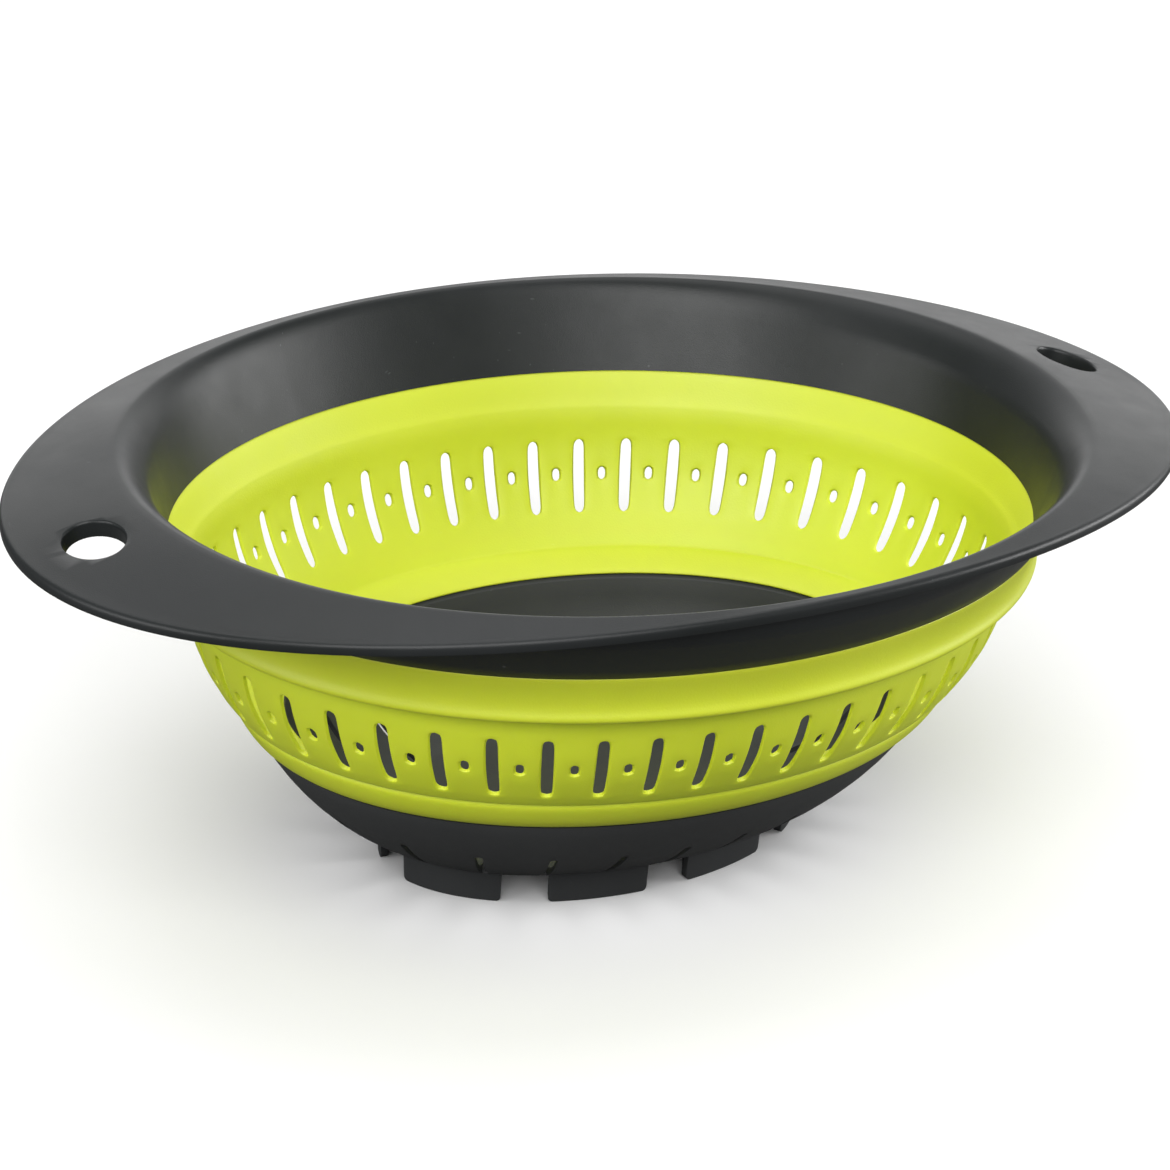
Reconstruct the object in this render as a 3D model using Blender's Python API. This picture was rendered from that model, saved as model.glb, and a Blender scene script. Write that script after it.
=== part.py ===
"""Collapsible colander: a rigid rim with two hanging handles, a folding
strainer wall in three rings, and a rigid base dish on a notched foot.

Lengths are in metres. Z is up, the foot stands on Z = 0 and the two handles
lie along X. The bowl is a mild oval: a ring of mean radius r reaches
r + OVAL_OFFSET along X and r - OVAL_OFFSET along Y.
"""

import math

import bmesh
import bpy
from mathutils import Matrix, Vector

# Shared sizes
OVAL_OFFSET = 0.0120
FIT_GAP = 0.0003
SOFT_WALL = 0.0020
CUT_OVERRUN = 0.006

# Foot ring
FOOT_HEIGHT = 0.0080
FOOT_RADIUS = 0.0535
FOOT_WALL = 0.0024
FOOT_DRAFT = 0.0008
FOOT_COUNT = 8
FOOT_NOTCH_WIDTH = 0.0135

# Base dish
DISH_CORNER_OUT = 0.0032
DISH_RADIUS = 0.0915
DISH_HEIGHT = 0.0348
DISH_FLOOR = 0.0020
DISH_WALL = 0.0042
DISH_BOW = 0.0036
DISH_INNER_BOW = 0.0072
DRAIN_COUNT = 24
DRAIN_WIDTH = 0.0020
DRAIN_REACH = 0.0095

# Lower collar, on the base
LOWER_COLLAR_HEIGHT = 0.0089
LOWER_COLLAR_FLARE = 0.0040
CREASE_INSET = 0.0023
LEDGE_WIDTH = 0.0103
LEDGE_DROP = 0.0024
LEDGE_EDGE = 0.0010
BEAD_ROUND = 0.0008

# Strainer band
BAND_HEIGHT = 0.0385
BAND_FLARE = 0.0157
BAND_BOW = 0.0036
BAND_LAP = 0.0015
SLOT_COUNT = 47
SLOT_LENGTH = 0.0230
SLOT_WIDTH = 0.0032
SLOT_DROP = 0.0008
DOT_LENGTH = 0.0031
DOT_WIDTH = 0.0024
DOT_RAISE = 0.0006

# Upper collar, on the rim
UPPER_COLLAR_HEIGHT = 0.0146
COLLAR_STEP = 0.0024
COLLAR_FLARE = 0.0010
COLLAR_RIDGE_HEIGHT = 0.0024
COLLAR_RIDGE_OUT = 0.0008
COLLAR_BOW = 0.0006

# Rim wall and handle flange
RIM_WALL = 0.0044
RIM_WALL_HEIGHT = 0.0224
RIM_TOP_WALL = 0.0024
RIM_FLARE = 0.0114
RIM_JOINT_RISE = 0.0030
MOUTH_END_ROUND = 0.0092
MOUTH_SIDE_ROUND = 0.0034
MOUTH_DEPTH = 0.0085
FLANGE_END_WIDTH = 0.0302
FLANGE_SIDE_WIDTH = 0.0021
FLANGE_THICKNESS = 0.0024
FLANGE_UNDER_INSET = 0.0005
END_DROOP = 0.0081
LIP_HEIGHT = 0.0042
LIP_WALL = 0.0016
EDGE_ROUND = 0.0016
HOLE_LENGTH = 0.0162
HOLE_WIDTH = 0.0212
HOLE_INSET = 0.0190
HOLE_BOSS_WALL = 0.0024
HOLE_BOSS_DEPTH = 0.0050

# Mesh fineness
RING_STEPS = 72
CURVE_STEPS = 4
ROUND_STEPS = 16
SLOT_STEPS = 8
MOUTH_STEPS = 4

# Places along the flange, from the mouth to the edge
FLANGE_SHARES = (0.34, 0.68)

# Derived heights
DISH_TOP = FOOT_HEIGHT + DISH_HEIGHT
LOWER_COLLAR_BOTTOM = DISH_TOP + FIT_GAP
LOWER_COLLAR_TOP = LOWER_COLLAR_BOTTOM + LOWER_COLLAR_HEIGHT
BAND_BOTTOM = LOWER_COLLAR_TOP - BAND_LAP
BAND_TOP = BAND_BOTTOM + BAND_HEIGHT
UPPER_COLLAR_BOTTOM = BAND_TOP - BAND_LAP
UPPER_COLLAR_OUTER_TOP = UPPER_COLLAR_BOTTOM + UPPER_COLLAR_HEIGHT
UPPER_COLLAR_INNER_TOP = UPPER_COLLAR_OUTER_TOP - RIM_JOINT_RISE
RIM_OUTER_BOTTOM = UPPER_COLLAR_OUTER_TOP + FIT_GAP
RIM_INNER_BOTTOM = UPPER_COLLAR_INNER_TOP + FIT_GAP
RIM_TOP = RIM_OUTER_BOTTOM + RIM_WALL_HEIGHT

# Derived mean radii
DISH_FLOOR_RADIUS = FOOT_RADIUS + FOOT_DRAFT + DISH_CORNER_OUT
LOWER_COLLAR_RADIUS = DISH_RADIUS + LOWER_COLLAR_FLARE
CREASE_RADIUS = LOWER_COLLAR_RADIUS - CREASE_INSET
LEDGE_RADIUS = CREASE_RADIUS - LEDGE_WIDTH
BAND_BOTTOM_INNER = LOWER_COLLAR_RADIUS + FIT_GAP
BAND_TOP_INNER = BAND_BOTTOM_INNER + BAND_FLARE
COLLAR_STEP_INNER = BAND_TOP_INNER + SOFT_WALL + FIT_GAP
UPPER_COLLAR_INNER = COLLAR_STEP_INNER + COLLAR_STEP
RIM_BOTTOM_INNER = UPPER_COLLAR_INNER + COLLAR_FLARE
RIM_BOTTOM_OUTER = RIM_BOTTOM_INNER + RIM_WALL
MOUTH_RADIUS = RIM_BOTTOM_INNER + RIM_FLARE
FLANGE_START_ALONG = MOUTH_RADIUS + OVAL_OFFSET + MOUTH_END_ROUND
FLANGE_START_ACROSS = MOUTH_RADIUS - OVAL_OFFSET + MOUTH_SIDE_ROUND


def clear_scene():
    """Remove every object that is in the file."""
    for old in list(bpy.data.objects):
        bpy.data.objects.remove(old, do_unlink=True)


def make_collection(name):
    """A new collection under the scene's own."""
    collection = bpy.data.collections.new(name)
    bpy.context.scene.collection.children.link(collection)
    return collection


def plastic(name, colour, roughness):
    """A plain Principled material."""
    material = bpy.data.materials.new(name)
    material.use_nodes = True
    shader = material.node_tree.nodes["Principled BSDF"]
    shader.inputs["Base Color"].default_value = (*colour, 1.0)
    shader.inputs["Roughness"].default_value = roughness
    shader.inputs["Metallic"].default_value = 0.0
    return material


def ring(radius, height):
    """One ring of the bowl: its reach along X, its reach along Y, its height and its droop."""
    return (radius + OVAL_OFFSET, radius - OVAL_OFFSET, height, 0.0)


def blend_rings(first, second, share):
    """The ring that lies a share of the way from one ring to another."""
    return tuple(a + (b - a) * share for a, b in zip(first, second))


def rounded_rings(low, high, steps=MOUTH_STEPS):
    """Rings on a quarter round that starts upright at low and ends level at high, without the ends."""
    rings = []
    for step in range(1, steps):
        angle = math.pi / 2 * step / steps
        outward = 1 - math.cos(angle)
        upward = math.sin(angle)
        along = low[0] + (high[0] - low[0]) * outward
        across = low[1] + (high[1] - low[1]) * outward
        rings.append((along, across, low[2] + (high[2] - low[2]) * upward, 0.0))
    return rings


def bowed(start, end, bow, steps=CURVE_STEPS):
    """Points (radius, height) from start to end, bowed outward in the middle, without the ends."""
    run = Vector(end) - Vector(start)
    outward = Vector((abs(run.y), -abs(run.x))).normalized()
    points = []
    for step in range(1, steps):
        share = step / steps
        points.append(Vector(start) + run * share + outward * bow * 4 * share * (1 - share))
    return [tuple(point) for point in points]


def add_loop(mesh, section):
    """Add the corners of one oval loop to a mesh."""
    along, across, height, droop = section
    corners = []
    for step in range(RING_STEPS):
        angle = math.tau * step / RING_STEPS
        end_share = math.cos(angle) ** 2
        place = (along * math.cos(angle), across * math.sin(angle), height - droop * end_share)
        corners.append(mesh.verts.new(place))
    return corners


def lofted(name, sections, closed):
    """A solid through oval loops: closed on itself as a ring, or capped at both ends."""
    mesh = bmesh.new()
    loops = [add_loop(mesh, section) for section in sections]
    pairs = list(zip(loops, loops[1:]))
    if closed:
        pairs.append((loops[-1], loops[0]))
    for near, far in pairs:
        for step in range(RING_STEPS):
            mesh.faces.new((near[step - 1], near[step], far[step], far[step - 1]))
    if not closed:
        mesh.faces.new(loops[0])
        mesh.faces.new(loops[-1])
    bmesh.ops.recalc_face_normals(mesh, faces=mesh.faces)
    return finish_mesh(name, mesh)


def finish_mesh(name, mesh):
    """Store a bmesh in a new object."""
    data = bpy.data.meshes.new(name)
    mesh.to_mesh(data)
    mesh.free()
    return bpy.data.objects.new(name, data)


def place_part(part, collection, material):
    """Link a part, give it its material and shade it smooth with sharp edges kept."""
    collection.objects.link(part)
    part.data.materials.append(material)
    part.data.shade_smooth()
    part.data.set_sharp_from_angle(angle=math.radians(35))


def place_cutter(cutter, collection):
    """Link a helper solid that shows as wires and never renders."""
    collection.objects.link(cutter)
    cutter.display_type = "WIRE"
    cutter.hide_render = True


def join_or_cut(part, helper, operation):
    """Add a Boolean modifier to a part."""
    modifier = part.modifiers.new(helper.name, "BOOLEAN")
    modifier.operation = operation
    modifier.solver = "EXACT"
    modifier.object = helper


def even_angles(count, radius, start_share=0.0):
    """Angles that split an oval of the bowl into even lengths round its outline."""
    fine = 4 * RING_STEPS
    along, across = radius + OVAL_OFFSET, radius - OVAL_OFFSET
    angles = [math.tau * step / fine for step in range(fine + 1)]
    points = [Vector((along * math.cos(a), across * math.sin(a))) for a in angles]
    lengths = [0.0]
    for before, after in zip(points, points[1:]):
        lengths.append(lengths[-1] + (after - before).length)
    result = []
    for index in range(count):
        target = lengths[-1] * (index + start_share) / count
        step = max(k for k in range(fine) if lengths[k] <= target)
        share = (target - lengths[step]) / (lengths[step + 1] - lengths[step])
        result.append(angles[step] + (angles[step + 1] - angles[step]) * share)
    return result


def wall_frame(angle, radius, height, rise, growth):
    """Place and axes on the bowl's wall: X round the bowl, Y up the wall, Z out of it."""
    along, across = radius + OVAL_OFFSET, radius - OVAL_OFFSET
    cosine, sine = math.cos(angle), math.sin(angle)
    place = Vector((along * cosine, across * sine, height))
    round_axis = Vector((-along * sine, across * cosine, 0.0)).normalized()
    up_axis = Vector((growth * cosine, growth * sine, rise))
    up_axis = (up_axis - round_axis * up_axis.dot(round_axis)).normalized()
    out_axis = round_axis.cross(up_axis)
    rotation = Matrix((round_axis, up_axis, out_axis)).transposed().to_4x4()
    return Matrix.Translation(place) @ rotation


def add_pin(mesh, frame, length, width, depth):
    """Add a prism with round ends: width along the frame's X, length along its Y, depth along Z."""
    made = bmesh.ops.create_cone(
        mesh,
        cap_ends=True,
        segments=SLOT_STEPS,
        radius1=width / 2,
        radius2=width / 2,
        depth=depth,
        matrix=Matrix.Rotation(math.pi / SLOT_STEPS, 4, "Z"),
    )
    half_straight = (length - width) / 2
    for corner in made["verts"]:
        corner.co.y += math.copysign(half_straight, corner.co.y)
        corner.co = frame @ corner.co


def build_base_dish():
    """The rigid dish and its foot ring, before the notches and drains are cut."""
    foot_inner = FOOT_RADIUS - FOOT_WALL
    skirt_inner = DISH_RADIUS - SOFT_WALL - FIT_GAP
    tongue_top = LOWER_COLLAR_TOP - SOFT_WALL - FIT_GAP
    tongue_outer = CREASE_RADIUS - FIT_GAP
    inner_top = LOWER_COLLAR_TOP - LEDGE_DROP - LEDGE_EDGE - FIT_GAP
    inner_floor_radius = DISH_FLOOR_RADIUS - DISH_FLOOR
    floor_top = FOOT_HEIGHT + DISH_FLOOR
    outer_wall = bowed((DISH_FLOOR_RADIUS, FOOT_HEIGHT), (DISH_RADIUS, DISH_TOP), DISH_BOW)
    inner_wall = bowed((LEDGE_RADIUS, inner_top), (inner_floor_radius, floor_top), DISH_INNER_BOW)
    points = [
        (foot_inner, FOOT_HEIGHT),
        (foot_inner, 0.0),
        (FOOT_RADIUS, 0.0),
        (FOOT_RADIUS + FOOT_DRAFT, FOOT_HEIGHT),
        (DISH_FLOOR_RADIUS, FOOT_HEIGHT),
        *outer_wall,
        (DISH_RADIUS, DISH_TOP),
        (skirt_inner, DISH_TOP),
        (tongue_outer, tongue_top),
        (LEDGE_RADIUS, inner_top),
        *inner_wall,
        (inner_floor_radius, floor_top),
    ]
    return lofted("base_dish", [ring(radius, height) for radius, height in points], False)


def build_foot_notches():
    """Blocks that cut the foot ring into separate feet."""
    mesh = bmesh.new()
    for angle in even_angles(FOOT_COUNT, FOOT_RADIUS):
        frame = wall_frame(angle, FOOT_RADIUS, 0.0, FOOT_HEIGHT, 0.0)
        made = bmesh.ops.create_cube(mesh, size=1.0)
        size = Matrix.Diagonal((FOOT_NOTCH_WIDTH, 2 * FOOT_HEIGHT, 4 * FOOT_WALL, 1.0))
        bmesh.ops.transform(mesh, matrix=frame @ size, verts=made["verts"])
    return finish_mesh("foot_notches", mesh)


def build_drains():
    """Thin plates that cut the drain slits up the dish's lowest corner."""
    mesh = bmesh.new()
    rise = DISH_HEIGHT
    growth = DISH_RADIUS - DISH_FLOOR_RADIUS
    half_reach = DRAIN_REACH / 2
    slope = growth / math.hypot(rise, growth)
    radius = DISH_FLOOR_RADIUS + half_reach * slope
    height = FOOT_HEIGHT + DISH_FLOOR + half_reach * math.sqrt(1 - slope**2)
    for angle in even_angles(DRAIN_COUNT, radius, 0.5):
        frame = wall_frame(angle, radius, height, rise, growth)
        add_pin(mesh, frame, DRAIN_REACH, DRAIN_WIDTH, 2 * (DISH_WALL + CUT_OVERRUN))
    return finish_mesh("drain_slits", mesh)


def build_lower_collar():
    """The soft ring moulded over the dish's top edge, with a sloping ledge inside."""
    outer = LOWER_COLLAR_RADIUS
    skirt_inner = DISH_RADIUS - SOFT_WALL
    top = LOWER_COLLAR_TOP
    points = [
        (DISH_RADIUS, LOWER_COLLAR_BOTTOM),
        (outer, top - SOFT_WALL),
        (outer, top - BEAD_ROUND),
        (outer - BEAD_ROUND, top),
        (CREASE_RADIUS + BEAD_ROUND, top),
        (CREASE_RADIUS - BEAD_ROUND, top - BEAD_ROUND),
        (LEDGE_RADIUS, top - LEDGE_DROP),
        (LEDGE_RADIUS, top - LEDGE_DROP - LEDGE_EDGE),
        (CREASE_RADIUS, top - SOFT_WALL),
        (skirt_inner, LOWER_COLLAR_BOTTOM),
    ]
    return lofted("lower_collar", [ring(radius, height) for radius, height in points], True)


def build_strainer_band():
    """The soft wall that folds, before its slots are cut."""
    bottom_inner = (BAND_BOTTOM_INNER, BAND_BOTTOM)
    top_inner = (BAND_TOP_INNER, BAND_TOP)
    bottom_outer = (BAND_BOTTOM_INNER + SOFT_WALL, BAND_BOTTOM)
    top_outer = (BAND_TOP_INNER + SOFT_WALL, BAND_TOP)
    inside = [bottom_inner, *bowed(bottom_inner, top_inner, BAND_BOW), top_inner]
    outside = [bottom_outer, *bowed(bottom_outer, top_outer, BAND_BOW), top_outer]
    points = inside + outside[::-1]
    return lofted("strainer_band", [ring(radius, height) for radius, height in points], True)


def build_strainer_slots():
    """Long slots with a small dot between each two, all round the band."""
    mesh = bmesh.new()
    middle = (BAND_BOTTOM + BAND_TOP) / 2 - SLOT_DROP
    slant = math.hypot(BAND_HEIGHT, BAND_FLARE)
    radius = BAND_BOTTOM_INNER + (BAND_FLARE + SOFT_WALL) / 2 + BAND_BOW * BAND_HEIGHT / slant
    depth = SOFT_WALL + CUT_OVERRUN
    for angle in even_angles(SLOT_COUNT, radius, 0.5):
        frame = wall_frame(angle, radius, middle, BAND_HEIGHT, BAND_FLARE)
        add_pin(mesh, frame, SLOT_LENGTH, SLOT_WIDTH, depth)
    for angle in even_angles(SLOT_COUNT, radius):
        frame = wall_frame(angle, radius, middle + DOT_RAISE, BAND_HEIGHT, BAND_FLARE)
        add_pin(mesh, frame, DOT_LENGTH, DOT_WIDTH, depth)
    return finish_mesh("strainer_slots", mesh)


def build_upper_collar():
    """The soft ring under the rim wall, with a fold step inside and a ridge outside its foot."""
    inner = UPPER_COLLAR_INNER
    step_top = UPPER_COLLAR_BOTTOM + SOFT_WALL
    outer_low = inner + SOFT_WALL
    ridge = (outer_low + COLLAR_RIDGE_OUT, UPPER_COLLAR_BOTTOM + COLLAR_RIDGE_HEIGHT)
    outer_top = (RIM_BOTTOM_OUTER, UPPER_COLLAR_OUTER_TOP)
    points = [
        (inner, step_top),
        (COLLAR_STEP_INNER, step_top),
        (COLLAR_STEP_INNER, UPPER_COLLAR_BOTTOM),
        (outer_low, UPPER_COLLAR_BOTTOM),
        ridge,
        *bowed(ridge, outer_top, COLLAR_BOW),
        outer_top,
        (RIM_BOTTOM_INNER, UPPER_COLLAR_INNER_TOP),
    ]
    return lofted("upper_collar", [ring(radius, height) for radius, height in points], True)


def edge_ring(inset, drop):
    """A ring along the flange's outer edge, moved in from it and down from its top."""
    along = FLANGE_START_ALONG + FLANGE_END_WIDTH - inset
    across = FLANGE_START_ACROSS + FLANGE_SIDE_WIDTH - inset
    return (along, across, RIM_TOP - drop, END_DROOP)


def build_rim():
    """The rigid rim: the bowl's top wall and the oval flange, before the hanging holes."""
    wall_foot = (RIM_BOTTOM_INNER, RIM_INNER_BOTTOM)
    wall_head = (MOUTH_RADIUS, RIM_TOP - MOUTH_DEPTH)
    outer_foot = (RIM_BOTTOM_OUTER, RIM_OUTER_BOTTOM)
    inner_head = ring(*wall_head)
    outer_head = ring(MOUTH_RADIUS + RIM_TOP_WALL, RIM_TOP - MOUTH_DEPTH)
    flange_start = (FLANGE_START_ALONG, FLANGE_START_ACROSS, RIM_TOP, 0.0)
    flange_edge = edge_ring(EDGE_ROUND, 0.0)
    under_along = FLANGE_START_ALONG - FLANGE_UNDER_INSET
    under_across = FLANGE_START_ACROSS - FLANGE_UNDER_INSET
    under_start = (under_along, under_across, RIM_TOP - FLANGE_THICKNESS, 0.0)
    under_edge = edge_ring(LIP_WALL, FLANGE_THICKNESS)
    round_in = EDGE_ROUND * (1 - math.sqrt(0.5))
    sections = [ring(*wall_foot)]
    sections += [ring(*point) for point in bowed(wall_foot, wall_head, RIM_FLARE / 16)]
    sections += [inner_head, *rounded_rings(inner_head, flange_start), flange_start]
    sections += [blend_rings(flange_start, flange_edge, share) for share in FLANGE_SHARES]
    sections += [flange_edge, edge_ring(round_in, round_in), edge_ring(0.0, EDGE_ROUND)]
    sections += [edge_ring(0.0, LIP_HEIGHT), edge_ring(LIP_WALL, LIP_HEIGHT), under_edge]
    sections += [blend_rings(under_edge, under_start, share) for share in FLANGE_SHARES]
    sections += [under_start, *reversed(rounded_rings(outer_head, under_start)), outer_head]
    sections += [ring(*outer_foot)]
    return lofted("rim", sections, True)


def hole_frame(side):
    """Place and axes of a hanging hole: Z stands square on the sloping flange end."""
    reach = FLANGE_END_WIDTH - HOLE_INSET
    slope = END_DROOP / FLANGE_END_WIDTH
    place = Vector((side * (FLANGE_START_ALONG + reach), 0.0, RIM_TOP - slope * reach))
    tilt = Matrix.Rotation(side * math.atan(slope), 4, "Y")
    return Matrix.Translation(place) @ tilt


def build_oval_pin(name, side, wall, top, bottom):
    """An oval pin at a hanging hole, from top to bottom along the hole's axis."""
    mesh = bmesh.new()
    made = bmesh.ops.create_cone(
        mesh,
        cap_ends=True,
        segments=2 * ROUND_STEPS,
        radius1=0.5,
        radius2=0.5,
        depth=top - bottom,
    )
    size = Matrix.Diagonal((HOLE_LENGTH + 2 * wall, HOLE_WIDTH + 2 * wall, 1.0, 1.0))
    middle = Matrix.Translation((0.0, 0.0, (top + bottom) / 2))
    bmesh.ops.transform(mesh, matrix=hole_frame(side) @ middle @ size, verts=made["verts"])
    return finish_mesh(name, mesh)


def main():
    """Build the colander."""
    clear_scene()
    parts = make_collection("collapsible_colander")
    cutters = make_collection("cutters")

    rim = build_rim()
    place_part(rim, parts, plastic("rim_plastic", (0.065, 0.07, 0.075), 0.42))
    for side, word in ((-1, "left"), (1, "right")):
        boss = build_oval_pin(word + "_hole_boss", side, HOLE_BOSS_WALL, -EDGE_ROUND, -HOLE_BOSS_DEPTH)
        hole = build_oval_pin(word + "_hole", side, 0.0, CUT_OVERRUN, -HOLE_BOSS_DEPTH - CUT_OVERRUN)
        place_cutter(boss, cutters)
        place_cutter(hole, cutters)
        join_or_cut(rim, boss, "UNION")
        join_or_cut(rim, hole, "DIFFERENCE")

    upper_collar = build_upper_collar()
    place_part(upper_collar, parts, plastic("upper_collar_soft", (0.56, 0.66, 0.03), 0.55))

    band = build_strainer_band()
    place_part(band, parts, plastic("strainer_band_soft", (0.58, 0.68, 0.03), 0.55))
    slots = build_strainer_slots()
    place_cutter(slots, cutters)
    join_or_cut(band, slots, "DIFFERENCE")

    lower_collar = build_lower_collar()
    place_part(lower_collar, parts, plastic("lower_collar_soft", (0.54, 0.64, 0.03), 0.55))

    dish = build_base_dish()
    place_part(dish, parts, plastic("base_plastic", (0.05, 0.055, 0.058), 0.45))
    for helper in (build_foot_notches(), build_drains()):
        place_cutter(helper, cutters)
        join_or_cut(dish, helper, "DIFFERENCE")

    print("rim reaches", round(rim.dimensions.x, 4), "by", round(rim.dimensions.y, 4))


main()
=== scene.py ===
# %% [markdown]
# # A collapsible colander
# A folding colander is moulded as three pieces that can't come apart: a stiff dark rim with
# two hanging holes, a soft green wall that folds, and a stiff dark base dish on a foot ring.
# The solids that the physics uses are loaded first, as a fixed frame in metres. Every piece
# made below stands where those solids stand, and takes over their look.

import math

import bmesh
import bpy
from mathutils import Matrix, Vector


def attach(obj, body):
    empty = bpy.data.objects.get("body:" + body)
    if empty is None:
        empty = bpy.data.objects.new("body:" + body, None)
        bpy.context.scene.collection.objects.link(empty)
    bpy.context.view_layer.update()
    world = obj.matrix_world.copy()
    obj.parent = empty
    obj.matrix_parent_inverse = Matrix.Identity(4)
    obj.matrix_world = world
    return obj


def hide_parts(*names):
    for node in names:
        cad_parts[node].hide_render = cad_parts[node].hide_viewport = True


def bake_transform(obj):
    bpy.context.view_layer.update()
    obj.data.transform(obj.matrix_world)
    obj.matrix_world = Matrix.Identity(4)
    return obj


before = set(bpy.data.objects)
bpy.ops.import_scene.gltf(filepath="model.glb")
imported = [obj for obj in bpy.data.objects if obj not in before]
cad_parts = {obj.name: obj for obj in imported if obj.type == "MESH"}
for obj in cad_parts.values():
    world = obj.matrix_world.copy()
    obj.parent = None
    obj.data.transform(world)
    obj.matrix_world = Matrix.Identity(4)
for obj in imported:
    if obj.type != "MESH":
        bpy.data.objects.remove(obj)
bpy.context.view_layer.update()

# %% [markdown]
# The bowl isn't round. Each ring of it is a mild oval, longer towards the hanging holes.
# The easy way to such a shape is to turn every piece as a round one first, and to lay it on
# the oval afterwards, by moving its corners. A ring of mean radius r then reaches r plus a
# fixed amount along X, and r minus it along Y. Near the middle that amount fades out.
# The columns of the mesh are spaced evenly along the outline, so that slots keep one spacing.

# %% The oval
OVAL = 0.0120
OVAL_FADE_RADIUS = 0.050
MOUTH_RADIUS = 0.1227


def oval_place(radius, turn, height):
    """Where a point of a round ring goes on the bowl's oval."""
    offset = OVAL * min(1.0, radius / OVAL_FADE_RADIUS)
    even_turn = turn + offset / (2 * max(radius, OVAL_FADE_RADIUS)) * math.sin(2 * turn)
    x = (radius + offset) * math.cos(even_turn)
    y = (radius - offset) * math.sin(even_turn)
    return Vector((x, y, height))


def lay_on_oval(mesh, column_radius=None):
    """Move the corners of a round spin on to the oval. One column radius keeps columns straight."""
    for corner in mesh.verts:
        radius = math.hypot(corner.co.x, corner.co.y)
        turn = math.atan2(corner.co.y, corner.co.x)
        if column_radius:
            ease = OVAL / (2 * column_radius) * math.sin(2 * turn)
            x = (radius + OVAL) * math.cos(turn + ease)
            y = (radius - OVAL) * math.sin(turn + ease)
            corner.co = Vector((x, y, corner.co.z))
        else:
            corner.co = oval_place(radius, turn, corner.co.z)


mouth_long = oval_place(MOUTH_RADIUS, 0.0, 0.0).x
mouth_wide = oval_place(MOUTH_RADIUS, math.pi / 2, 0.0).y
print("half of the mouth:", round(mouth_long, 4), "by", round(mouth_wide, 4))

# %% [markdown]
# Every piece starts as a section: a few points, each a radius and a height. Rounded corners
# are arcs of such points. The spin operator turns the section once round the Z axis and
# merges its last copy with its first, which gives clean rows and columns of four-sided faces.

# %% Sections and spins
SAME_PLACE = 0.000001
SHARP_ANGLE = math.radians(35)


def arc(radius, height, size, start, end, steps):
    """Points of a section on an arc about (radius, height), with its angles in degrees."""
    points = []
    for step in range(steps + 1):
        angle = math.radians(start + (end - start) * step / steps)
        points.append((radius + size * math.cos(angle), height + size * math.sin(angle)))
    return points


def curve_between(start, end, bow, steps):
    """Points from start to end, bowed away from the axis in the middle, without the two ends."""
    run = Vector(end) - Vector(start)
    outward = Vector((abs(run.y), -abs(run.x))).normalized()
    points = []
    for step in range(1, steps):
        share = step / steps
        points.append(tuple(Vector(start) + run * share + outward * bow * 4 * share * (1 - share)))
    return points


def full_spin(mesh, corners, edges, columns):
    """Turn a line of corners and edges once round Z, and close the seam and the poles."""
    bmesh.ops.spin(
        mesh,
        geom=corners + edges,
        cent=(0.0, 0.0, 0.0),
        axis=(0.0, 0.0, 1.0),
        angle=math.tau,
        steps=columns,
        use_merge=True,
    )
    bmesh.ops.remove_doubles(mesh, verts=mesh.verts, dist=SAME_PLACE)
    bmesh.ops.recalc_face_normals(mesh, faces=mesh.faces)


def spin_section(points, columns):
    """Turn a section of (radius, height) points, from the axis back to the axis, into a solid."""
    mesh = bmesh.new()
    corners = [mesh.verts.new((radius, 0.0, height)) for radius, height in points]
    edges = [mesh.edges.new(pair) for pair in zip(corners, corners[1:])]
    full_spin(mesh, corners, edges, columns)
    return mesh


def make_object(name, mesh, material=None):
    """Store a mesh as an object of the scene, shaded smooth with its hard edges kept."""
    data = bpy.data.meshes.new(name)
    mesh.to_mesh(data)
    mesh.free()
    piece = bpy.data.objects.new(name, data)
    bpy.context.scene.collection.objects.link(piece)
    data.shade_smooth()
    data.set_sharp_from_angle(angle=SHARP_ANGLE)
    if material:
        data.materials.append(material)
    return piece


def bake_modifiers(piece):
    """Apply a piece's modifiers, so that its mesh is final."""
    bpy.context.view_layer.update()
    graph = bpy.context.evaluated_depsgraph_get()
    data = bpy.data.meshes.new_from_object(piece.evaluated_get(graph))
    piece.modifiers.clear()
    piece.data = data
    return piece


def cut_or_join(piece, helper, operation):
    """Cut a helper out of a piece, or join it to the piece, and throw the helper away."""
    modifier = piece.modifiers.new("helper", "BOOLEAN")
    modifier.operation = operation
    modifier.solver = "EXACT"
    modifier.object = helper
    bake_modifiers(piece)
    bpy.data.objects.remove(helper, do_unlink=True)


def finish_piece(piece, material):
    """Give a cut piece its one material, and shade it smooth with its hard edges kept."""
    piece.data.materials.clear()
    piece.data.materials.append(material)
    piece.data.shade_smooth()
    piece.data.set_sharp_from_angle(angle=SHARP_ANGLE)


print("a quarter arc:", [tuple(round(value, 2) for value in point) for point in arc(0, 0, 1, 0, 90, 2)])

# %% [markdown]
# ## Finishes
# The stiff parts are moulded in anthracite plastic with a satin skin: a very fine grain from
# the mould, soft cloudy differences in gloss where hands and water have been, and a few pale
# hair scratches. The soft wall is a rubbery plastic in lime green. It is duller, its colour
# varies a little with its thickness, and it lets a little light in.
# Grain and clouds are wanted in every finish, so they are node groups, built once.

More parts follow.
